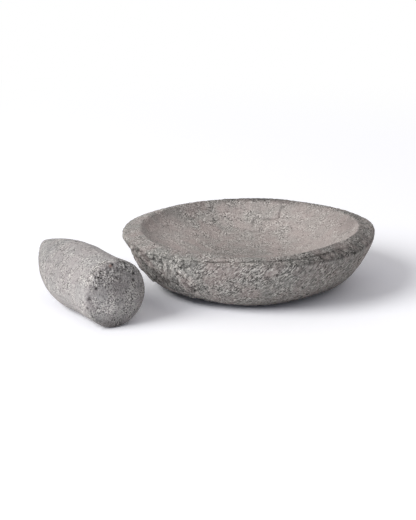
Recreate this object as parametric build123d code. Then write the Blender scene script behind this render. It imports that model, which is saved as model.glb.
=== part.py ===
from build123d import *
from math import degrees, asin, radians, tan
import os

# A carved stone dish mortar with its loose stone pestle lying beside it.
# Lengths are in millimetres and angles in degrees. +Z is up, and the origin is
# the centre of the flat under the mortar's foot.

# Mortar: the outside
rim_diameter = 202.0        # across the rim's corner, before it is rounded
foot_diameter = 125.0       # the flat that the dish rests on
rim_height = 42.5           # from the floor to the rim's outer edge
foot_slope = 12.0           # slope of the wall where it leaves the foot
rim_slope = 70.0            # slope of the wall where it meets the rim
rim_rounding = 3.0          # radius worn on the rim's outer edge

# Mortar: the lip and the basin
lip_width = 14.0            # level width of the lip, corner to inner edge
lip_rise = 4.0              # how far the lip climbs from its outer to its inner edge
basin_depth = 30.0          # from the lip's inner edge down to the basin's middle
basin_slope = 48.0          # slope of the basin's side just under the lip
lip_rounding = 1.5          # radius worn on the lip's inner edge

# Pestle: the grip and its domed grinding face
pestle_diameter = 50.5
grip_length = 59.5          # from the grinding face's middle to where the nose begins
face_crown = 4.5            # how far the grinding face bulges over its width
shoulder_rounding = 5.0     # radius between the grinding face and the grip

# Pestle: the nose, which narrows and turns up to a blunt tip
nose_length = 57.5
tip_diameter = 8.5
nose_rise = 10.5            # how far the tip's middle lies above the grip's middle line
tip_rounding = 3.8

# Where the pestle lies: its side faces the dish, and its nose points away to the left
pestle_gap = 18.5           # clear floor between the rim and the pestle's side
pestle_heading = 32.0       # turn of the nose from +Y towards -X
pestle_forward = 48.3       # grinding face, in front of the pestle's nearest point to the dish

NOSE_STEPS = 5              # sections that the nose is lofted through


def curve_between(start, start_slope, end, end_slope):
    """The parabola that leaves start and reaches end at the two slopes."""
    start_grade = tan(radians(start_slope))
    end_grade = tan(radians(end_slope))
    # The curve's middle control point is where its two end tangents cross.
    rise = end[1] - start[1]
    x = (rise + start_grade * start[0] - end_grade * end[0]) / (start_grade - end_grade)
    crossing = (x, start[1] + start_grade * (x - start[0]))
    return Bezier(start, crossing, end)


def turned(outline):
    """The solid that a closed outline, radius across and height up, makes about +Z."""
    return revolve(Plane.XZ * make_face(outline), Axis.Z)


def worn(part, radius, height, rounding):
    """The part with its circular edge at that radius and height rounded."""
    edges = part.edges().filter_by(GeomType.CIRCLE)
    edge = edges.filter_by(
        lambda e: abs(e.radius - radius) < 1e-3 and abs(e.center().Z - height) < 1e-3
    )
    return fillet(edge, rounding)


def make_mortar_bowl():
    """One carved block: a convex wall on a flat foot, a sloping lip and a shallow basin."""
    foot_edge = (foot_diameter / 2, 0)
    outer_edge = (rim_diameter / 2, rim_height)
    inner_edge = (rim_diameter / 2 - lip_width, rim_height + lip_rise)
    basin_middle = (0, rim_height + lip_rise - basin_depth)

    bowl = turned([
        Line((0, 0), foot_edge),
        curve_between(foot_edge, foot_slope, outer_edge, rim_slope),
        Line(outer_edge, inner_edge),
        curve_between(basin_middle, 0, inner_edge, basin_slope),
        Line(basin_middle, (0, 0)),
    ])
    bowl = worn(bowl, *outer_edge, rim_rounding)
    return worn(bowl, *inner_edge, lip_rounding)


def make_grip():
    """The pestle's round grip along +Z, with the domed grinding face at the origin."""
    radius = pestle_diameter / 2
    face_radius = (radius**2 + face_crown**2) / (2 * face_crown)
    face_angle = degrees(asin(radius / face_radius))
    grip = turned([
        CenterArc((0, face_radius), face_radius, -90, face_angle),
        Line((radius, face_crown), (radius, grip_length)),
        Line((radius, grip_length), (0, grip_length)),
        Line((0, grip_length), (0, 0)),
    ])
    return worn(grip, radius, face_crown, shoulder_rounding)


def make_nose():
    """The nose past the grip: circles that shrink and climb as the square of the way along."""
    grip_radius = pestle_diameter / 2
    narrowing = grip_radius - tip_diameter / 2
    sections = []
    for step in range(NOSE_STEPS + 1):
        along = step / NOSE_STEPS
        centre = Pos(0, nose_rise * along**2, grip_length + nose_length * along)
        sections.append(centre * Circle(grip_radius - narrowing * along**2))
    nose = loft(sections)
    blunt_end = nose.faces().sort_by(Axis.Z)[-1]
    return fillet(blunt_end.edges(), tip_rounding)


def make_pestle():
    """The grip and the nose as one stone, lying on the floor at its place by the dish."""
    pestle_radius = pestle_diameter / 2
    reach = rim_diameter / 2 + pestle_gap + pestle_radius
    # Lying along +Y, to the left of the dish, with the nose's rise towards +Z
    lying = Plane((-reach, -pestle_forward, pestle_radius), x_dir=(-1, 0, 0), z_dir=(0, 1, 0))
    pestle = lying.location * (make_grip() + make_nose())
    return Rot(0, 0, pestle_heading) * pestle


os.makedirs("parts", exist_ok=True)
export_step(make_mortar_bowl(), "parts/mortar_bowl.step")
export_step(make_pestle(), "parts/pestle.step")
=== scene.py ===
import math
import random

import bpy
import numpy as np
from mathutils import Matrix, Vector, noise


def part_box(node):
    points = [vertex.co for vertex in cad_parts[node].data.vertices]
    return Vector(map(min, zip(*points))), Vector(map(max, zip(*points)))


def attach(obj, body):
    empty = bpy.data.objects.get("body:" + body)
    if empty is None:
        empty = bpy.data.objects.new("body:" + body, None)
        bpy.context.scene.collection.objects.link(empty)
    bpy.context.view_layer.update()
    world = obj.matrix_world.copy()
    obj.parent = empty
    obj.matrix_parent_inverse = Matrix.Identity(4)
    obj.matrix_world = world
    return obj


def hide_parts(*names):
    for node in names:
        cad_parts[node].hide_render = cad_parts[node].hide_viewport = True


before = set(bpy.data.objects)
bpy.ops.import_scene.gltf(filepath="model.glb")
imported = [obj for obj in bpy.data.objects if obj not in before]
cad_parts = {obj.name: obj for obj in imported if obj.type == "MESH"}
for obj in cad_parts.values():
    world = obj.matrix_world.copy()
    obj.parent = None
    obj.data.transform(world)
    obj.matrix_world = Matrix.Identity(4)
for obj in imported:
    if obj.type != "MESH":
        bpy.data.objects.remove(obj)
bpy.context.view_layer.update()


# ---------------------------------------------------------------- the camera
# A long lens from the front, a little above the table, so that the dish shows its lip and
# about half of its basin and the pestle lies to its left.
camera_distance = 1.40
camera_drop = math.radians(16.41)
aim = Vector((-0.0321, 0.0, 0.0182))

camera_data = bpy.data.cameras.new("camera")
camera_data.sensor_width = 36.0
camera_data.lens = 122.0
camera = bpy.data.objects.new("camera", camera_data)
camera.location = aim + camera_distance * Vector((0, -math.cos(camera_drop), math.sin(camera_drop)))
camera.rotation_euler = (math.radians(90) - camera_drop, 0, 0)
bpy.context.scene.collection.objects.link(camera)
bpy.context.scene.camera = camera


# ---------------------------------------------------------------- the mortar
# One block of grey volcanic stone, cut to a shallow dish by hand. The wall keeps the marks of
# the point chisel, the lip is pecked to a rough grain, and the basin is ground smooth.
mortar_low, mortar_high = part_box("mortar_bowl")
rim_wear = 0.0022           # how far the rim's outer corner is softened
edge_wear = 0.0012          # how far the basin's edge is softened
rim_radius = (mortar_high.x - mortar_low.x) / 2 + rim_wear / 2
foot_radius = 0.0625
rim_height = 0.0425
foot_slope = math.radians(12)
rim_slope = math.radians(70)
lip_width = 0.014
lip_rise = 0.004
basin_depth = 0.030
basin_slope = math.radians(48)

wall_rings = 84             # rings of vertices from the foot's edge to the basin's edge
basin_rings = 90
around = 8 * basin_rings    # vertices in each full ring
foot_rings = 6


def parabola(start, start_slope, end, end_slope, count=200):
    """Points of the parabola that leaves start and reaches end at the two slopes."""
    start_grade, end_grade = math.tan(start_slope), math.tan(end_slope)
    rise = end[1] - start[1]
    x = (rise + start_grade * start[0] - end_grade * end[0]) / (start_grade - end_grade)
    crossing = (x, start[1] + start_grade * (x - start[0]))
    t = np.linspace(0, 1, count)[:, None]
    corners = np.array([start, crossing, end])
    return (1 - t) ** 2 * corners[0] + 2 * t * (1 - t) * corners[1] + t**2 * corners[2]


def evenly(points, count=None, step=None):
    """The line of points again, at even steps along its length."""
    along = np.concatenate([[0], np.cumsum(np.linalg.norm(np.diff(points, axis=0), axis=1))])
    count = count or int(along[-1] / step) + 1
    at = np.linspace(0, along[-1], count)
    return np.stack([np.interp(at, along, points[:, k]) for k in range(points.shape[1])], axis=1)


def softened_line(points, wear, step=0.00025):
    """The line with its corners worn round; its two ends stay where they are."""
    line = evenly(points, step=step)
    reach = int(4 * wear / step)
    weights = np.exp(-0.5 * (np.arange(-reach, reach + 1) * step / wear) ** 2)
    weights /= weights.sum()
    before = 2 * line[0] - line[reach:0:-1]
    after = 2 * line[-1] - line[-2:-reach - 2:-1]
    padded = np.concatenate([before, line, after])
    return np.stack([np.convolve(padded[:, k], weights, "valid") for k in range(2)], axis=1)


foot_edge = (foot_radius, 0.0)
rim_corner = (rim_radius, rim_height)
lip_corner = (rim_radius - lip_width, rim_height + lip_rise)
basin_middle = (0.0, rim_height + lip_rise - basin_depth)
wall_line = parabola(foot_edge, foot_slope, rim_corner, rim_slope)
outside = softened_line(np.concatenate([wall_line, [lip_corner]]), rim_wear)
basin_line = parabola(basin_middle, 0.0, lip_corner, basin_slope)[::-1]
outline = softened_line(np.concatenate([outside, basin_line]), edge_wear)
edge_at = int(np.argmin(np.linalg.norm(outline - lip_corner, axis=1)))
wall_and_lip = evenly(outline[:edge_at + 1], count=wall_rings + 1)
basin_run = evenly(outline[edge_at:], count=basin_rings + 1)


def turned_point(line, ring, angle):
    """Position and outward normal on the turned outline at a ring number and an angle."""
    ring = min(max(ring, 0), len(line) - 1)
    before, after = line[max(ring - 1, 0)], line[min(ring + 1, len(line) - 1)]
    run, climb = after - before
    size = math.hypot(run, climb)
    across, up = climb / size, -run / size
    radius, height = line[ring]
    place = (radius * math.cos(angle), radius * math.sin(angle), height)
    return place, (across * math.cos(angle), across * math.sin(angle), up)


# Foot: a centre point and a few rings. Wall and lip: full rings. Basin: a square grid drawn
# into a disc, whose ring k holds 8k points, so the faces stay about the same size.
places, normals, runs, faces = [], [], [], []
wall_length = np.linalg.norm(np.diff(wall_and_lip, axis=0), axis=1).sum()
basin_length = np.linalg.norm(np.diff(basin_run, axis=0), axis=1).sum()
places.append((0, 0, 0))
normals.append((0, 0, -1))
runs.append(-foot_radius)
for ring in range(1, foot_rings):
    radius = foot_radius * ring / foot_rings
    for step in range(around):
        angle = 2 * math.pi * step / around
        places.append((radius * math.cos(angle), radius * math.sin(angle), 0))
        normals.append((0, 0, -1))
        runs.append(radius - foot_radius)
for ring in range(wall_rings + 1):
    for step in range(around):
        place, normal = turned_point(wall_and_lip, ring, 2 * math.pi * step / around)
        places.append(place)
        normals.append(normal)
        runs.append(wall_length * ring / wall_rings)
for step in range(around):
    faces.append((0, 1 + (step + 1) % around, 1 + step))
for ring in range(foot_rings - 1 + wall_rings):
    start = 1 + ring * around
    for step in range(around):
        after = (step + 1) % around
        faces.append((start + step, start + after, start + around + after, start + around + step))

edge_start = len(places) - around
grid = {}
for i in range(-basin_rings, basin_rings + 1):
    for j in range(-basin_rings, basin_rings + 1):
        k = max(abs(i), abs(j))
        if k == 0:
            turn = 0.0
        elif i == k and j > -k:
            turn = j / k
        elif j == k:
            turn = 2 - i / k
        elif i == -k:
            turn = 4 - j / k
        else:
            turn = 6 + i / k
        if k == basin_rings:
            grid[i, j] = edge_start + round(turn * basin_rings) % around
            continue
        grid[i, j] = len(places)
        place, normal = turned_point(basin_run, basin_rings - k, turn * math.pi / 4)
        places.append(place)
        normals.append(normal)
        runs.append(wall_length + basin_length * (basin_rings - k) / basin_rings)
for i in range(-basin_rings, basin_rings):
    for j in range(-basin_rings, basin_rings):
        faces.append((grid[i, j], grid[i + 1, j], grid[i + 1, j + 1], grid[i, j + 1]))

places, normals, runs = np.array(places), np.array(normals), np.array(runs)
normals /= np.linalg.norm(normals, axis=1)[:, None]
turns = np.arctan2(places[:, 1], places[:, 0])
reach = np.hypot(places[:, 0], places[:, 1])


def smooth_step(values, low, high):
    t = np.clip((values - low) / (high - low), 0, 1)
    return t * t * (3 - 2 * t)


def grain(points, size, octaves=1, seed=0):
    """Soft noise of about -1 to 1 whose lumps are about size across."""
    shift = Vector((13.7 * seed, 5.1 * seed, 9.3 * seed))
    scale = 1 / size
    return np.array([noise.fractal(Vector(p) * scale + shift, 1.0, 2.0, octaves) for p in points])


def cells(points, size, seed=0):
    """Distance to the nearest and the second nearest of scattered points, in sizes."""
    shift = Vector((7.9 * seed, 3.3 * seed, 11.1 * seed))
    scale = 1 / size
    found = [noise.voronoi(Vector(p) * scale + shift)[0][:2] for p in points]
    return np.array(found).T


chip_tilts_seed = 1         # the chips' tilts would come from the clock without a seed


def chips(points, size, seed):
    """Flat chips, each with its own tilt and a shade that goes with its tilt: height, shade, and how far to
    the next one.
    """
    shift = Vector((7.9 * seed, 3.3 * seed, 11.1 * seed))
    noise.seed_set(chip_tilts_seed)
    heights, shades, gaps = [], [], []
    for p in points:
        spot = Vector(p) / size + shift
        distances, centres = noise.voronoi(spot)
        own = noise.noise_vector(3.7 * centres[0])
        heights.append((spot - centres[0]).dot(own))
        shades.append(own.x)
        gaps.append(distances[1] - distances[0])
    return np.array(heights), np.array(shades), np.array(gaps)


def streaks(lean, length, width, seed):
    """Noise drawn out into streaks that lean across the wall, with no seam round the dish."""
    seam = smooth_step(np.abs(turns), 1.2, 1.9)
    value = np.zeros(len(turns))
    for share, unrolled in ((1 - seam, turns), (seam, turns % (2 * math.pi))):
        used = np.nonzero(share > 0)[0]
        x, y = unrolled[used] * rim_radius * 0.85, runs[used]
        along = (x * math.cos(lean) + y * math.sin(lean)) / length
        over = (y * math.cos(lean) - x * math.sin(lean)) / width
        flat = np.stack([along, over, np.full(len(used), 0.3)], axis=1)
        value[used] += share[used] * grain(flat, 1.0, 2, seed)
    return value


rim_run = wall_length * np.argmin(np.linalg.norm(wall_and_lip - rim_corner, axis=1)) / wall_rings
degrees = np.degrees(turns)


def facing(toward, spread):
    """1 at that angle round the dish, falling away softly to 0 at spread degrees from it.

    The front is at -90 degrees, the right at 0, the far side at 90 and the left at 180.
    """
    apart = np.abs((turns - math.radians(toward) + math.pi) % (2 * math.pi) - math.pi)
    return 1 - smooth_step(apart, 0.0, math.radians(spread))


def blot(points, centre, size):
    """A soft spot of 0 to 1 round a place on the stone, all in metres."""
    return np.exp(-(((points - centre) / size) ** 2).sum(axis=1))


def band(middle, width):
    """A soft band of 0 to 1 round the dish, at a length up the outline from the foot's edge."""
    return np.exp(-((runs - middle) / width) ** 2)


# A narrow ledge bounds the lip. It lies on the rim's corner at the left, and inside a rough
# bevel along the front.
bevel_width = 0.0070
ledge_width = 0.0009
bevel = bevel_width * smooth_step(degrees, -134, -84) * (1 - smooth_step(degrees, -20, 50))
ledge_run = rim_run + 0.0008 + bevel + 0.0007 * grain(places * (1, 1, 0), 0.011, 2, seed=17)
ledge = band(ledge_run, ledge_width)
ledge *= np.maximum.reduce([facing(-138, 50), 0.8 * facing(-98, 60), 0.9 * facing(-69, 42)])
ledge *= smooth_step(grain(places, 0.006, 2, seed=18), -0.55, 0.15)

past_ledge = smooth_step(runs, ledge_run - 0.0005, ledge_run + 0.001)
on_basin = smooth_step(runs, wall_length - 0.0008, wall_length + 0.0012)
on_lip = past_ledge * (1 - on_basin)
on_wall = smooth_step(runs, 0.0, 0.004) * (1 - past_ledge)
on_bevel = on_wall * smooth_step(runs, rim_run - 0.002, rim_run) * smooth_step(bevel, 0.0, 0.004)


def chisel(cuts, turn, run, lean, length, width, depth):
    """One flat chisel cut: it slopes in across its width and ends in a small step."""
    across = (turns - turn + math.pi) % (2 * math.pi) - math.pi
    near = (np.abs(across) * reach < length) & (np.abs(runs - run) < length)
    index = np.nonzero(near)[0]
    x = across[index] * reach[index]
    y = runs[index] - run
    along = (x * math.cos(lean) + y * math.sin(lean)) / (length / 2)
    over = (y * math.cos(lean) - x * math.sin(lean)) / (width / 2)
    ends = np.clip(1 - along**2, 0, 1)
    slope = np.clip((over + 1) / 1.7, 0, 1) * np.clip((1 - over) / 0.3, 0, 1)
    cut = depth * ends * np.where(np.abs(over) < 1, slope, 0)
    cuts[index] = np.minimum(cuts[index], -cut)


# The left of the wall was broken down in upright lumps, the rest cut in slanting rows.
slant = math.radians(52)
slanting_cuts = 900
upright_cuts = 260
cut_length = (0.008, 0.016)     # the least and the most
cut_width = (0.0032, 0.0056)
cut_depth = (0.0005, 0.0012)
upright_size = 1.25             # how much bigger the upright cuts are
lumpy = smooth_step(facing(-152, 75) + 0.15 * grain(places, 0.014, 1, seed=12), 0.30, 0.60)
hand = random.Random(11)
slanting, upright = np.zeros(len(places)), np.zeros(len(places))
for count, family in ((slanting_cuts, slanting), (upright_cuts, upright)):
    big = 1.0 if family is slanting else upright_size
    for _ in range(count):
        turn = hand.uniform(-math.pi, math.pi)
        if family is upright:
            turn = math.radians(hand.uniform(-215, -105))
        run = hand.uniform(0.004, rim_run)
        lean = hand.gauss(slant, 0.16) if family is slanting else math.radians(hand.gauss(100, 16))
        length = big * hand.uniform(*cut_length)
        width = big * hand.uniform(*cut_width)
        depth = big * hand.uniform(*cut_depth) * (1 - 0.4 * max(0.0, math.cos(turn + 0.5)))
        chisel(family, turn, run, lean, length, width, depth)

warp = np.stack([grain(places, 0.007, 2, seed) for seed in (41, 42, 43)], axis=1)
chip_height, chip_shade, chip_gap = chips(places * (1, 1, 0.7) + 0.0015 * warp, 0.0064, seed=8)
crevice = (1 - smooth_step(chip_gap, 0.0, 0.22)) * smooth_step(grain(places, 0.009, 1, seed=44), -0.6, 0.1)
near_cell, next_cell = cells(places, 0.0030, seed=1)
pecked = np.minimum(next_cell - near_cell, 0.5) - 0.25
fine_grain = grain(places, 0.0022, 2, seed=9)

# The relief is how far each point stands out from the turned outline, in metres.
slanted_wall = 0.52 * slanting + 0.0006 * chip_height
lumpy_wall = 0.50 * upright + 0.0016 * chip_height - 0.0006 * crevice
lumpy_wall += 0.0004 * grain(places, 0.010, 2, seed=15)
wall_grain = (0.00020 - 0.00012 * lumpy) * streaks(slant, 0.007, 0.0024, seed=2)
wall_grain += 0.00010 * pecked + 0.00011 * fine_grain
relief = on_wall * ((1 - lumpy) * slanted_wall + lumpy * lumpy_wall + wall_grain)

# The lip is pecked all over, more openly at the front and the right than at the left.
open_lip = 1 - 0.62 * facing(178, 75)
lip_pits = np.clip(0.36 - cells(places, 0.0038, seed=14)[0], 0, 1)
lip_pits *= smooth_step(grain(places, 0.004, 1, seed=16), -0.25, 0.05)
lip_grain = (0.00022 + 0.00016 * open_lip) * (fine_grain + pecked)
relief += on_lip * (lip_grain - 0.0024 * open_lip * lip_pits)
relief -= 0.0007 * ledge + 0.0005 * on_bevel

# The basin is ground smooth but for an open-grained patch at the far left and two old cracks.
coarse_patch = blot(places, (-0.034, 0.068, 0.037), (0.030, 0.018, 0.02))
coarse_patch = np.maximum(coarse_patch, 0.6 * blot(places, (-0.006, 0.080, 0.040), (0.030, 0.008, 0.01)))
coarse_patch *= smooth_step(grain(places, 0.006, 2, seed=19), -0.5, 0.3)
crack_width = 0.0010
crack_depth = 0.0007


def crack(path):
    """How close each point lies to a cracked line drawn over the basin, from 0 to 1."""
    nearest = np.full(len(places), 1.0)
    wander = np.stack([grain(places, 0.004, 1, seed) for seed in (20, 21)], axis=1)
    flat = places[:, :2] + 0.0008 * wander
    for start, end in zip(np.array(path[:-1]), np.array(path[1:])):
        along = np.clip((flat - start) @ (end - start) / ((end - start) @ (end - start)), 0, 1)
        gap = np.linalg.norm(flat - start - along[:, None] * (end - start), axis=1)
        nearest = np.minimum(nearest, gap)
    return np.exp(-(nearest / crack_width) ** 2) * (runs > wall_length)


long_crack = crack([(0.029, 0.076), (0.0265, 0.069), (0.022, 0.0683), (0.015, 0.0696),
                    (0.009, 0.0717), (0.0056, 0.0695), (0.005, 0.064)])
short_crack = crack([(0.015, 0.0617), (0.0125, 0.0573), (0.009, 0.0564), (0.0035, 0.0568)])
cracks = np.maximum(long_crack, 0.6 * short_crack)
relief += on_basin * (0.00035 * grain(places, 0.018, 2, seed=4) + 0.00009 * fine_grain)
relief += on_basin * (coarse_patch * (0.0004 * pecked + 0.0003 * fine_grain) - crack_depth * cracks)
relief += smooth_step(runs, 0.0, 0.003) * 0.0006 * grain(places, 0.045, 1, seed=6)

# Cut by hand, it is not quite round or level. The rim is highest at the far right, full at the
# right and lowest at the far left. The lip is wider at the front right and at the left, and the
# wall is drawn in under it at the left and the right, and low down at the front.
side = np.stack([np.cos(turns), np.sin(turns), np.zeros(len(turns))], axis=1)
rim_share = band(rim_run, 0.014)
edge_share = band(wall_length, 0.004)
wide_lip = band(wall_length, 0.007)
upper_wall = smooth_step(runs, 0.020, 0.040) * (1 - smooth_step(runs, rim_run, rim_run + 0.010))
lower_wall = smooth_step(runs, 0.0, 0.006) * (1 - smooth_step(runs, 0.022, 0.044))
push = rim_share * (0.0022 * facing(13, 20) + 0.0006 * facing(35, 25) + 0.0005 * facing(176, 20))
push -= 0.0010 * upper_wall * facing(-15, 30)
push -= 0.0025 * band(rim_run - 0.011, 0.006) * facing(-166, 24)
push -= 0.0013 * band(rim_run - 0.018, 0.007) * facing(-162, 24)
push += edge_share * 0.0007 * grain(side * 0.09, 0.014, 2, seed=7)
push -= wide_lip * (0.0032 * facing(-36, 48) + 0.0020 * facing(178, 50))
drawn_in = 0.0017 * lower_wall * facing(-45, 42) + 0.0006 * band(0.021, 0.005) * facing(-140, 24)
points = places + normals * (relief - drawn_in)[:, None] + side * push[:, None]
points[:, 2] += rim_share * (0.0016 * facing(20, 38) + 0.0002 * facing(70, 40) - 0.0014 * facing(120, 50))
points[:, 2] += wide_lip * (0.0012 * facing(-36, 48) + 0.0005 * facing(82, 35))

# It stands on its middle: the foot's edge is worn clear of the table, most at the left.
worn_edge = np.clip(1 - np.abs(runs - 0.001) / 0.009, 0, 1)
worn_left = np.clip(1 - np.abs(runs - 0.002) / 0.018, 0, 1) * facing(-138, 42)
points[:, 2] += 0.0013 * worn_edge + 0.0032 * worn_left

# How much paler or darker than its even grey the stone is, as a share. The worn edge of the
# foot is painted nearly black, as painted shade where the dish meets the table.
contact_shade_run = 0.0056 + 0.0036 * facing(-136, 40)
tone = -0.94 * (1 - smooth_step(runs, contact_shade_run, contact_shade_run + 0.0022)) * (runs > -0.02)

# The lip is painted darker, most at the right, as painted shade for its rough grain on the side
# away from the lamp. The far lip and the basin's far edge are painted as a dark line of painted shade.
far_edge = on_lip + on_basin * smooth_step(reach, 0.0838, 0.0858)
thin_far_edge = on_lip + on_basin * smooth_step(reach, 0.0853, 0.0862)
tone -= on_lip * (0.05 + 0.34 * facing(-10, 70) + 0.20 * facing(-58, 40) + 0.11 * facing(-136, 40))
tone += on_lip * (0.08 * facing(140, 50) + 0.06 * facing(-37, 20) - 0.06 * facing(-84, 25))
tone += on_lip * (0.16 * facing(0, 70) + 0.08 * facing(-130, 40)) * grain(places, 0.0042, 2, seed=42)
tone -= far_edge * (0.20 * facing(74, 48) + 0.26 * facing(85, 38)) + 0.24 * thin_far_edge * facing(86, 40)

# The basin is paler, and painted paler still at the left as painted light; it is painted darker
# along its edge at the far left, as painted shade below the lip, and is darker along its edge at the far
# right.
tone += on_basin * (0.06 + 0.14 * facing(-165, 90) * smooth_step(reach, 0.02, 0.06))
tone -= on_basin * 0.15 * facing(140, 45) * smooth_step(reach, 0.079, 0.083)
tone -= on_basin * 0.18 * facing(24, 42) * smooth_step(reach, 0.070, 0.084)
# The ledge is painted dark as painted shadow under the lip's edge; the coarse patch and the cracks are
# darker.
tone -= 0.12 * coarse_patch + 0.22 * cracks + 0.42 * ledge

# The wall is painted darker toward the foot and round to the right, as painted shade, and is paler
# higher up at the front left. Its chips are painted paler or darker with the tilts of their faces, as
# painted light and shade, with painted shade in the crevices between them. The bevel is darker and
# mottled, and a painted shadow runs just under the rim's corner at the left.
tone -= on_wall * 0.30 * facing(-152, 35) * (1 - smooth_step(runs, 0.004, 0.022))
tone -= on_wall * 0.12 * facing(-125, 25) * (1 - smooth_step(runs, 0.008, 0.022))
tone -= on_wall * 0.14 * facing(-80, 50) * (1 - smooth_step(runs, 0.008, 0.026))
tone -= on_wall * 0.14 * facing(-62, 50) * (1 - smooth_step(runs, 0.010, 0.030))
tone -= on_wall * (0.20 * facing(-34, 60) + 0.05 * facing(-70, 50))
tone += on_wall * 0.14 * facing(-133, 36) * smooth_step(runs, 0.012, 0.024)
tone += on_wall * ((0.10 + 0.42 * lumpy) * chip_shade - 0.40 * lumpy * crevice)
tone += on_bevel * (0.30 * grain(places, 0.0034, 2, seed=45) - 0.18 - 0.18 * facing(-52, 45))
tone -= 0.30 * band(rim_run - 0.0016, 0.0016) * facing(-140, 38)

# Paler and darker spots, some of them painted light and shade as marked: where they are kept to,
# how pale, their middles and their sizes.
everywhere = 1.0
for zone, shade, place, size in (
    (on_wall, 0.26, (-0.064, -0.073, 0.033), (0.007, 0.007, 0.006)),
    (on_wall, 0.16, (-0.064, -0.073, 0.029), (0.014, 0.010, 0.006)),
    (on_wall, 0.22, (-0.038, -0.078, 0.016), (0.007, 0.008, 0.006)),
    (on_wall, 0.13, (0.058, -0.068, 0.019), (0.018, 0.012, 0.010)),
    # painted shade low on the wall's left, beside the pestle
    (on_wall, -0.35, (-0.071, -0.056, 0.021), (0.009, 0.009, 0.008)),
    (everywhere, 0.13, (-0.060, -0.077, 0.034), (0.016, 0.012, 0.006)),
    (everywhere, 0.10, (-0.048, -0.084, 0.031), (0.007, 0.007, 0.006)),
    (everywhere, 0.08, (-0.038, -0.080, 0.018), (0.009, 0.008, 0.006)),
    # painted shade low on the wall's left, beside the pestle
    (everywhere, -0.15, (-0.061, -0.064, 0.0175), (0.012, 0.012, 0.005)),
    (everywhere, -0.10, (-0.004, -0.086, 0.0146), (0.010, 0.008, 0.005)),
    (everywhere, 0.08, (-0.071, -0.057, 0.0455), (0.012, 0.009, 0.006)),
    # painted shade along the rim's corner at the front left
    (everywhere, -0.13, (-0.064, -0.0775, 0.0425), (0.010, 0.007, 0.004)),
    (everywhere, -0.12, (-0.092, -0.048, 0.041), (0.006, 0.010, 0.005)),
    (everywhere, -0.13, (-0.038, -0.093, 0.041), (0.008, 0.006, 0.005)),
    (everywhere, 0.11, (0.095, 0.018, 0.043), (0.008, 0.012, 0.010)),
    (everywhere, 0.11, (0.093, 0.005, 0.045), (0.008, 0.012, 0.006)),
    (everywhere, -0.12, (0.081, 0.021, 0.044), (0.009, 0.012, 0.010)),
    (everywhere, -0.08, (0.084, 0.015, 0.0445), (0.006, 0.010, 0.006)),
    # painted shade on the far lip
    (everywhere, -0.08, (-0.047, 0.0705, 0.044), (0.016, 0.010, 0.008)),
    (everywhere, -0.06, (0.040, 0.076, 0.045), (0.016, 0.008, 0.006)),
    # painted light on the basin's left side
    (on_basin, 0.32, (-0.058, 0.020, 0.028), (0.018, 0.026, 0.02)),
    (on_basin, 0.14, (0.001, 0.072, 0.034), (0.024, 0.016, 0.02)),
    (on_basin, 0.09, (0.031, 0.051, 0.027), (0.016, 0.020, 0.02)),
    (on_basin, -0.24, (-0.004, 0.018, 0.018), (0.040, 0.020, 0.02)),
    (on_basin, -0.10, (0.013, 0.045, 0.022), (0.018, 0.018, 0.02)),
):
    tone += zone * shade * blot(places, place, size)


hollow_rounds = 14          # how far round each point its own level is compared
hollow_depth = 0.0003       # a point this far below its surroundings counts as hollow


def stone_mesh(name, points, faces, relief, grain_place, **layers):
    """A smooth-shaded mesh with its layers: how hollow each point is, and those given.

    The tool strokes' grain is read at grain_place, which is drawn out along the strokes.
    """
    mesh = bpy.data.meshes.new(name)
    mesh.from_pydata([tuple(p) for p in points], [], faces)
    mesh.validate()
    mesh.polygons.foreach_set("use_smooth", [True] * len(mesh.polygons))
    edges = np.empty(2 * len(mesh.edges), int)
    mesh.edges.foreach_get("vertices", edges)
    ends = edges.reshape(-1, 2)
    count = np.bincount(edges, minlength=len(points))
    level = relief.copy()
    for _ in range(hollow_rounds):
        total = np.bincount(ends[:, 0], level[ends[:, 1]], len(points))
        total += np.bincount(ends[:, 1], level[ends[:, 0]], len(points))
        level = 0.5 * level + 0.5 * total / np.maximum(count, 1)
    layers["hollow"] = (level - relief) / hollow_depth
    for layer, values in layers.items():
        attribute = mesh.attributes.new(layer, "FLOAT", "POINT")
        attribute.data.foreach_set("value", values.astype(np.float32))
    attribute = mesh.attributes.new("grain_place", "FLOAT_VECTOR", "POINT")
    attribute.data.foreach_set("vector", grain_place.astype(np.float32).ravel())
    mesh.update()
    return mesh


def add_node(tree, kind, links=(), **settings):
    """A shader node with its settings; links is pairs of an input and the output that feeds it."""
    node = tree.nodes.new(kind)
    for name, value in settings.items():
        if name in node.inputs:
            node.inputs[name].default_value = value
        else:
            setattr(node, name, value)
    for name, source in links:
        tree.links.new(source, node.inputs[name])
    return node


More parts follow.
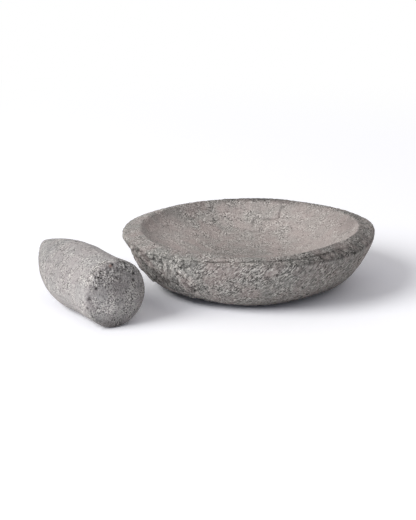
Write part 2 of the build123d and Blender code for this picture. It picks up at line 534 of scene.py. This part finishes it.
def stone_material(name, warm, cool, pale, dark, bump):
    """Grey volcanic stone: patches of two greys, a salt and pepper grain, pits and pale specks, painted
    shade in its hollows, and its tone, which holds painted light and shade too.
    """
    rust_brown = (0.16, 0.075, 0.055, 1)
    material = bpy.data.materials.new(name)
    material.use_nodes = True
    tree = material.node_tree
    tree.nodes.clear()
    where = add_node(tree, "ShaderNodeTexCoord").outputs["Object"]
    rough = add_node(tree, "ShaderNodeAttribute", attribute_name="rough").outputs["Fac"]
    hollow = add_node(tree, "ShaderNodeAttribute", attribute_name="hollow").outputs["Fac"]
    tone = add_node(tree, "ShaderNodeAttribute", attribute_name="tone").outputs["Fac"]
    rust = add_node(tree, "ShaderNodeAttribute", attribute_name="rust").outputs["Fac"]
    stroked = add_node(tree, "ShaderNodeAttribute", attribute_name="stroked").outputs["Fac"]
    grain_place = add_node(tree, "ShaderNodeAttribute", attribute_name="grain_place").outputs["Vector"]

    def texture(kind, **settings):
        return add_node(tree, kind, [("Vector", where)], **settings)

    def ranged(value, low, high, to_low=0.0, to_high=1.0):
        node = add_node(tree, "ShaderNodeMapRange", [("Value", value)])
        node.inputs["From Min"].default_value = low
        node.inputs["From Max"].default_value = high
        node.inputs["To Min"].default_value = to_low
        node.inputs["To Max"].default_value = to_high
        return node.outputs["Result"]

    def maths(operation, a, b):
        node = add_node(tree, "ShaderNodeMath", operation=operation)
        for socket, value in zip(node.inputs, (a, b)):
            if isinstance(value, (int, float)):
                socket.default_value = value
            else:
                tree.links.new(value, socket)
        return node.outputs["Value"]

    def mixed(factor, a, b):
        node = add_node(tree, "ShaderNodeMix", data_type="RGBA")
        for socket, value in ((node.inputs[0], factor), (node.inputs[6], a), (node.inputs[7], b)):
            if hasattr(value, "is_linked"):
                tree.links.new(value, socket)
            else:
                socket.default_value = value
        return node.outputs[2]

    def picked(voronoi, low, high):
        """A random share of a voronoi texture's cells."""
        colour = add_node(tree, "ShaderNodeSeparateColor", [("Color", voronoi.outputs["Color"])])
        return ranged(colour.outputs[0], low, high)

    patches = texture("ShaderNodeTexNoise", Scale=62.0, Detail=2.0, Roughness=0.5).outputs["Fac"]
    clouds = texture("ShaderNodeTexNoise", Scale=160.0, Detail=1.0, Roughness=0.5).outputs["Fac"]
    coarse = texture("ShaderNodeTexNoise", Scale=420.0, Detail=1.0, Roughness=0.5).outputs["Fac"]
    fine = texture("ShaderNodeTexNoise", Scale=1050.0, Detail=1.0, Roughness=0.6).outputs["Fac"]
    open_grain = texture("ShaderNodeTexNoise", Scale=120.0, Detail=1.0, Roughness=0.5).outputs["Fac"]
    strokes = add_node(tree, "ShaderNodeTexNoise", [("Vector", grain_place)],
                       Scale=850.0, Detail=1.0, Roughness=0.6).outputs["Fac"]
    pit_cells = texture("ShaderNodeTexVoronoi", Scale=480.0)
    speck_cells = add_node(tree, "ShaderNodeTexVoronoi", [("Vector", grain_place)], Scale=600.0)
    pits = ranged(pit_cells.outputs["Distance"], 0.44, 0.20)
    pits = maths("MULTIPLY", pits, picked(pit_cells, 0.60, 0.80))
    specks = ranged(speck_cells.outputs["Distance"], 0.42, 0.15)
    specks = maths("MULTIPLY", specks, picked(speck_cells, 0.80, 0.90))

    cool_share = maths("MULTIPLY", ranged(patches, 0.36, 0.60), ranged(rough, 0.0, 0.8, 0.30, 1.0))
    body = mixed(cool_share, warm, cool)
    speckle = maths("ADD", ranged(fine, 0.3, 0.7, -1.1, 1.1), ranged(coarse, 0.3, 0.7, -0.25, 0.25))
    speckle = maths("ADD", speckle, ranged(clouds, 0.3, 0.7, -0.14, 0.14))
    speckle = maths("MULTIPLY", speckle, ranged(stroked, 0.0, 1.0, 1.0, 0.50))
    drawn_out = maths("MULTIPLY", ranged(strokes, 0.3, 0.7, -0.88, 0.88), stroked)
    speckle = maths("ADD", speckle, drawn_out)
    open_grain = ranged(open_grain, 0.40, 0.62, 0.45, 1.45)
    contrast = maths("MULTIPLY", speckle, ranged(rough, 0.0, 1.0, 0.28, 0.80))
    contrast = maths("MULTIPLY", contrast, open_grain)
    # Hollows are painted darker and ridges paler: painted shade and painted light.
    shade = maths("ADD", contrast, maths("MULTIPLY", hollow, ranged(rough, 0.0, 1.0, -0.12, -0.20)))
    body = mixed(ranged(shade, 0.0, -0.8), body, dark)
    body = mixed(ranged(shade, 0.0, 0.8), body, pale)
    body = mixed(maths("MULTIPLY", pits, ranged(rough, 0.0, 1.0, 0.20, 0.55)), body, dark)
    specks = maths("MULTIPLY", specks, open_grain)
    body = mixed(maths("MULTIPLY", specks, ranged(rough, 0.0, 1.0, 0.05, 0.85)), body, pale)
    body = mixed(rust, body, rust_brown)
    toned = add_node(tree, "ShaderNodeVectorMath", operation="SCALE")
    tree.links.new(body, toned.inputs["Vector"])
    tree.links.new(maths("ADD", tone, 1.0), toned.inputs["Scale"])
    body = toned.outputs["Vector"]

    height = maths("SUBTRACT", maths("MULTIPLY", speckle, 0.4), maths("MULTIPLY", pits, 1.2))
    height = maths("MULTIPLY", height, ranged(rough, 0.0, 1.0, 0.40, 1.0))
    bumps = add_node(tree, "ShaderNodeBump", [("Height", height)], Strength=1.0, Distance=bump)
    shader = add_node(tree, "ShaderNodeBsdfPrincipled",
                      [("Base Color", body), ("Normal", bumps.outputs["Normal"])], Roughness=0.92)
    shader.inputs["Specular IOR Level"].default_value = 0.25
    add_node(tree, "ShaderNodeOutputMaterial", [("Surface", shader.outputs["BSDF"])])
    return material


rough = on_wall + (0.45 + 0.5 * open_lip) * on_lip
ground_smooth = 0.29 * facing(10, 80) * smooth_step(reach, 0.02, 0.06)
rough += on_basin * (0.33 - ground_smooth + 0.42 * coarse_patch)
twisted = turns - runs / math.tan(slant) / rim_radius
grain_place = np.stack([reach * np.cos(twisted), reach * np.sin(twisted), 0.25 * runs], axis=1)
mortar_mesh = stone_mesh("mortar_bowl_stone", points, faces, relief, grain_place,
                         rough=np.clip(rough, 0, 1), tone=tone, stroked=on_wall * (1 - 0.5 * lumpy))
mortar_stone = stone_material("mortar_stone", warm=(0.366, 0.318, 0.310, 1), cool=(0.303, 0.296, 0.287, 1),
                              pale=(0.68, 0.65, 0.63, 1), dark=(0.07, 0.068, 0.065, 1), bump=0.0004)
mortar_mesh.materials.append(mortar_stone)
mortar = bpy.data.objects.new("mortar_bowl_stone", mortar_mesh)
bpy.context.scene.collection.objects.link(mortar)
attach(mortar, "mortar")
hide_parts("mortar_bowl")


# ---------------------------------------------------------------- the pestle
# A short one-hand grinder of the same stone. Its grip is rubbed smooth, its nose narrows and
# turns up, and its domed grinding face is left open-grained and pitted.
pestle_radius = 0.02525
pestle_gap = 0.0185         # between the dish's rim and the pestle's side
pestle_heading = math.radians(32)
pestle_forward = 0.0483     # how far along its own line its face lies ahead of the dish's middle
grip_length = 0.0595
face_crown = 0.0045         # how far the middle of the grinding face stands out
shoulder_wear = 0.0013      # how far the corner round the face is softened
nose_length = 0.0575
nose_rise = 0.0105
tip_radius = 0.00425
pestle_rings = 190          # rings of vertices from the face's middle to the tip
pestle_around = 300

face_radius = (pestle_radius**2 + face_crown**2) / (2 * face_crown)
face_angles = np.linspace(0, math.asin(pestle_radius / face_radius), 60)
face_line = np.stack([face_radius * np.sin(face_angles), face_radius * (1 - np.cos(face_angles))], axis=1)
nose_along = np.linspace(0, 1, 120)
nose_line = np.stack([pestle_radius - (pestle_radius - tip_radius) * nose_along**2,
                      grip_length + nose_length * nose_along], axis=1)
tip_line = np.array([[0.0, grip_length + nose_length]])
profile = softened_line(np.concatenate([face_line, nose_line, tip_line]), shoulder_wear)
profile = profile[profile[:, 0] >= 0]
profile[0, 0] = profile[-1, 0] = 0.0
profile = evenly(profile, count=pestle_rings + 1)

places, normals, faces = [], [], []
for ring in range(pestle_rings + 1):
    radius, along = profile[ring]
    before, after = profile[max(ring - 1, 0)], profile[min(ring + 1, pestle_rings)]
    run, climb = after - before
    size = math.hypot(run, climb)
    past_grip = min(max((along - grip_length) / nose_length, 0.0), 1.0)
    rise = nose_rise * past_grip**2
    for step in range(pestle_around if 0 < ring < pestle_rings else 1):
        angle = 2 * math.pi * step / pestle_around
        places.append((radius * math.cos(angle), along, rise + radius * math.sin(angle)))
        out = climb / size
        normals.append((out * math.cos(angle), -run / size, out * math.sin(angle)))
last = len(places) - 1
for step in range(pestle_around):
    after = (step + 1) % pestle_around
    faces.append((0, 1 + step, 1 + after))
    top = last - pestle_around
    faces.append((last, top + after, top + step))
    for ring in range(pestle_rings - 2):
        start = 1 + ring * pestle_around
        faces.append((start + step, start + pestle_around + step,
                      start + pestle_around + after, start + after))
places, normals = np.array(places), np.array(normals)
normals[0], normals[-1] = (0, -1, 0), (0, 1, 0)
normals /= np.linalg.norm(normals, axis=1)[:, None]

along = places[:, 1]
across, up = places[:, 0], places[:, 2]
wander = 0.003 * grain(places * (1, 0, 1), 0.02, 2, seed=31)
on_face = 1 - smooth_step(along + 0.6 * wander, 0.0045, 0.0085)
speckled = 1 - smooth_step(along + 2 * wander, 0.005, 0.024)
fine_grain = grain(places, 0.0019, 2, seed=34)

# The face has many small pits, more of them toward its top, and six big ones.
open_pits = np.clip(0.40 - cells(places, 0.0024, seed=32)[0], 0, 1)
open_pits *= smooth_step(grain(places, 0.006, 1, seed=33) + 18 * up, -0.35, 0.15)
big_pits = np.zeros(len(places))
for place, size in (
    ((-0.0139, 0.0022, 0.0100), 0.0016),
    ((-0.0142, 0.0029, 0.0146), 0.0013),
    ((0.0018, 0.0040, 0.0234), 0.0011),
    ((0.0222, 0.0035, 0.0004), 0.0013),
    ((0.0238, 0.0046, -0.0068), 0.0011),
    ((0.0168, 0.0025, 0.0080), 0.0012),
):
    big_pits += blot(places, place, size)

# The upper edge of the face is pecked open: sharp little holes and pale broken grains.
open_edge = smooth_step(up - 0.3 * across, 0.004, 0.012) * smooth_step(up, 0.009, 0.015)
open_edge *= 1 - smooth_step(along - 0.5 * np.clip(up - 0.016, 0, 1), 0.0065, 0.0110)
open_edge *= 1 - smooth_step(-across, 0.007, 0.013)
peck_holes = np.clip(0.42 - cells(places, 0.0017, seed=39)[0], 0, 1) * open_edge

# Rubbing has left faint rings round the nose, and a soft swelling where the nose begins.
ring_step = 0.0036
rub_rings = np.sin(2 * math.pi * (along + 0.0022 * grain(places, 0.016, 2, seed=35)) / ring_step)
rub_rings *= smooth_step(along, grip_length, grip_length + 0.012)
rub_rings *= smooth_step(grain(places, 0.016, 1, seed=36), -0.3, 0.3)
swelling = np.clip(1 - np.abs(along - grip_length + 0.003) / 0.010, 0, 1)
relief = on_face * (0.00018 * fine_grain - 0.0010 * open_pits) - 0.0012 * big_pits - 0.0014 * peck_holes
relief += 0.0005 * grain(places, 0.030, 1, seed=37) + 0.0004 * swelling
relief += (1 - on_face) * (0.00007 * fine_grain + 0.00016 * rub_rings)

# It was shaped by eye: a little fuller or leaner than a turned shape in four places.
fuller = np.zeros(len(places))
for height, place, size in (
    (0.0009, (-0.017, 0.008, 0.019), (0.012, 0.012, 0.012)),
    (-0.0010, (0.018, 0.030, -0.016), (0.012, 0.030, 0.012)),
    (-0.0006, (-0.003, 0.050, 0.025), (0.012, 0.022, 0.010)),
    (-0.0007, (0.007, 0.094, 0.020), (0.008, 0.009, 0.008)),
):
    fuller += height * blot(places, place, size)
points = places + normals * (relief + fuller)[:, None]

# How much paler or darker the stone is. The face is darker, painted darker still at its right and
# its bottom as painted shade, and painted dark in its pits and holes as painted shade; the body is
# pale on its upper side, and painted paler along its low left edge as painted light.
upper_face = on_face * smooth_step(up, 0.002, 0.014)
edge_grain = 0.42 * fine_grain + 0.42 * grain(places, 0.0034, 1, seed=40)
face_grain = 0.10 * fine_grain + 0.14 * grain(places, 0.005, 1, seed=38)
nose_grain = grain(places * (0.4, 1, 0.4), 0.0024, 2, seed=41)
tone = 0.04 - 0.6 * big_pits - 0.08 * smooth_step(along, 0.055, 0.080)
tone += open_edge * (edge_grain - 1.5 * peck_holes - 0.04)
tone += upper_face * (face_grain - 0.4 * open_pits)
tone += 0.15 * smooth_step(along, 0.055, 0.075) * nose_grain
tone -= on_face * (0.20 * smooth_step(-across, 0.012, 0.024) + 0.16 * smooth_step(-up, 0.012, 0.022) + 0.06)
tone += (1 - on_face) * 0.16 * smooth_step(across - up, 0.018, 0.034)
# Spots: where each is kept to, how pale, its middle and its size. The first four, on the face, are painted
# light low at its left, and painted shade over its upper middle, at its upper right and at its bottom,
# where it meets the table.
for zone, shade, place, size in (
    (on_face, 0.36, (0.011, 0.002, -0.006), (0.013, 0.02, 0.012)),
    (on_face, -0.24, (0.000, 0.001, 0.007), (0.014, 0.02, 0.007)),
    (speckled, -0.12, (-0.010, 0.004, 0.017), (0.014, 0.02, 0.010)),
    (speckled, -0.25, (0.004, 0.003, -0.025), (0.018, 0.008, 0.005)),
    (everywhere, -0.07, (-0.001, 0.0002, 0.0040), (0.008, 0.010, 0.006)),
    # painted shade low by the face, where it meets the table
    (everywhere, -0.12, (0.006, 0.004, -0.020), (0.020, 0.008, 0.006)),
    (everywhere, 0.12, (0.0158, 0.0035, 0.0156), (0.005, 0.006, 0.005)),
    (everywhere, -0.13, (0.019, 0.004, -0.011), (0.008, 0.010, 0.008)),
    (everywhere, -0.09, (0.0194, 0.0041, -0.0144), (0.006, 0.008, 0.006)),
    (everywhere, 0.16, (0.023, 0.009, 0.007), (0.006, 0.005, 0.012)),
    (everywhere, -0.07, (0.0204, 0.015, 0.0149), (0.006, 0.008, 0.006)),
    (everywhere, 0.10, (0.022, 0.015, -0.010), (0.02, 0.015, 0.012)),
    (everywhere, -0.16, (0.019, 0.056, 0.015), (0.020, 0.016, 0.014)),
    (everywhere, 0.13, (0.001, 0.060, 0.023), (0.022, 0.045, 0.012)),
    (everywhere, -0.06, (0.018, 0.076, 0.0155), (0.008, 0.011, 0.008)),
    # painted light along the body's left side
    (everywhere, 0.16, (0.022, 0.080, 0.007), (0.006, 0.014, 0.012)),
    (everywhere, -0.10, (0.0165, 0.083, 0.0145), (0.010, 0.012, 0.010)),
):
    tone += zone * shade * blot(places, place, size)
rust = 0.9 * blot(places, (0.0042, 0.0040, 0.0228), 0.0013)

rough = 0.36 + 0.25 * speckled + 0.36 * smooth_step(along, 0.050, 0.075) + 0.45 * open_edge
rough += 0.30 * blot(places, (0.006, 0.004, -0.020), (0.020, 0.008, 0.006))
rough += on_face * (0.30 * smooth_step(up - 0.5 * across, -0.004, 0.016) - 0.08)

# It lies on its side, to the left of the dish and turned away from it, with its face to the
# front. No grain of its underside goes through the table.
lying = np.array([[-math.cos(pestle_heading), -math.sin(pestle_heading), 0],
                  [-math.sin(pestle_heading), math.cos(pestle_heading), 0],
                  [0, 0, 1]])
offset = np.array([rim_radius + pestle_gap + pestle_radius, -pestle_forward, pestle_radius])
points = (points + offset) @ lying
points[:, 2] = np.maximum(points[:, 2], 0)
faces = [tuple(reversed(face)) for face in faces]

pestle_mesh = stone_mesh("pestle_stone", points, faces, relief, places * (0.25, 1, 0.25), rough=rough,
                         tone=tone, rust=rust, stroked=0.5 * smooth_step(along, 0.030, 0.062))
pestle_stone = stone_material("pestle_stone", warm=(0.374, 0.345, 0.352, 1), cool=(0.332, 0.324, 0.330, 1),
                              pale=(0.66, 0.64, 0.62, 1), dark=(0.07, 0.068, 0.065, 1), bump=0.0004)
pestle_mesh.materials.append(pestle_stone)
pestle = bpy.data.objects.new("pestle_stone", pestle_mesh)
bpy.context.scene.collection.objects.link(pestle)
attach(pestle, "pestle")
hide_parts("pestle")


# ---------------------------------------------------------------- the table and the light
# A plain white table that passes softly into a pure white back, under one large soft lamp from
# the left, in a warm white room with a cool white wall before and behind it.
table_half = 12.0
sweep_start = 0.30          # how far from the dish the table's white begins to be the back's
sweep_end = 0.90


def shown_rays(tree):
    """1 on the rays that show the white room: straight, off a gloss, or through glass."""
    rays = add_node(tree, "ShaderNodeLightPath")
    shown = rays.outputs["Is Camera Ray"]
    for way in ("Is Glossy Ray", "Is Transmission Ray"):
        either = add_node(tree, "ShaderNodeMath", [(0, shown), (1, rays.outputs[way])], operation="MAXIMUM")
        shown = either.outputs[0]
    return shown


table_mesh = bpy.data.meshes.new("table")
table_mesh.from_pydata([(-table_half, -table_half, 0), (table_half, -table_half, 0),
                        (table_half, table_half, 0), (-table_half, table_half, 0)], [], [(0, 1, 2, 3)])
table_white = bpy.data.materials.new("table_white")
table_white.use_nodes = True
tree = table_white.node_tree
tree.nodes.clear()
# The table throws a plain white's light back at the stones. Seen straight, it is a brighter
# white that keeps their shadows and passes into pure white farther off.
plain = add_node(tree, "ShaderNodeBsdfDiffuse", Color=(0.80, 0.80, 0.80, 1))
near_white = add_node(tree, "ShaderNodeBsdfDiffuse", Color=(1.11, 1.12, 1.19, 1))
far_white = add_node(tree, "ShaderNodeEmission", Color=(1, 1, 1, 1), Strength=1.0)
spot = add_node(tree, "ShaderNodeTexCoord").outputs["Object"]
away = add_node(tree, "ShaderNodeVectorMath", [("Vector", spot)], operation="LENGTH").outputs["Value"]
sweep = add_node(tree, "ShaderNodeMapRange", [("Value", away)], interpolation_type="SMOOTHSTEP")
sweep.inputs["From Min"].default_value = sweep_start
sweep.inputs["From Max"].default_value = sweep_end
shown = add_node(tree, "ShaderNodeMixShader", [("Fac", sweep.outputs["Result"])])
tree.links.new(near_white.outputs[0], shown.inputs[1])
tree.links.new(far_white.outputs[0], shown.inputs[2])
pick = add_node(tree, "ShaderNodeMixShader", [("Fac", shown_rays(tree))])
tree.links.new(plain.outputs[0], pick.inputs[1])
tree.links.new(shown.outputs[0], pick.inputs[2])
add_node(tree, "ShaderNodeOutputMaterial", [("Surface", pick.outputs[0])])
table_mesh.materials.append(table_white)
table = bpy.data.objects.new("table", table_mesh)
bpy.context.scene.collection.objects.link(table)

# The lamp is a large round one, halfway up at the left and a little to the front.
lamp_turn = math.radians(209)
lamp_lift = math.radians(34)
lamp_distance = 5.0
towards_lamp = Vector((math.cos(lamp_turn) * math.cos(lamp_lift),
                       math.sin(lamp_turn) * math.cos(lamp_lift),
                       math.sin(lamp_lift)))
lamp_data = bpy.data.lights.new("key_lamp", "AREA")
lamp_data.shape = "DISK"
lamp_data.size = 3.4
lamp_data.energy = 217.0
lamp_data.color = (1.0, 1.0, 0.965)
lamp = bpy.data.objects.new("key_lamp", lamp_data)
lamp.location = lamp_distance * towards_lamp
lamp.rotation_euler = (aim - lamp.location).to_track_quat("-Z", "Y").to_euler()
bpy.context.scene.collection.objects.link(lamp)

# The room gives an even warm light, and its walls before and behind add a cool one. Where it is
# seen, it shows as pure white.
world = bpy.data.worlds.new("surround")
world.use_nodes = True
tree = world.node_tree
tree.nodes.clear()
direction = add_node(tree, "ShaderNodeTexCoord").outputs["Generated"]
split = add_node(tree, "ShaderNodeSeparateXYZ", [("Vector", direction)])
ahead = add_node(tree, "ShaderNodeMath", [(0, split.outputs["Y"])], operation="ABSOLUTE")
strength = add_node(tree, "ShaderNodeMath", [(0, ahead.outputs[0])], operation="MULTIPLY")
strength.inputs[1].default_value = 0.30
warm_room = add_node(tree, "ShaderNodeBackground", Color=(1.09, 1.0, 0.79, 1), Strength=0.39)
cool_walls = add_node(tree, "ShaderNodeBackground", [("Strength", strength.outputs[0])],
                      Color=(0.60, 0.80, 1.40, 1))
around_light = add_node(tree, "ShaderNodeAddShader")
tree.links.new(warm_room.outputs[0], around_light.inputs[0])
tree.links.new(cool_walls.outputs[0], around_light.inputs[1])
white_back = add_node(tree, "ShaderNodeBackground", Color=(1, 1, 1, 1), Strength=1.0)
pick = add_node(tree, "ShaderNodeMixShader", [("Fac", shown_rays(tree))])
tree.links.new(around_light.outputs[0], pick.inputs[1])
tree.links.new(white_back.outputs[0], pick.inputs[2])
add_node(tree, "ShaderNodeOutputWorld", [("Surface", pick.outputs[0])])
bpy.context.scene.world = world

bpy.context.scene.view_settings.view_transform = "Standard"
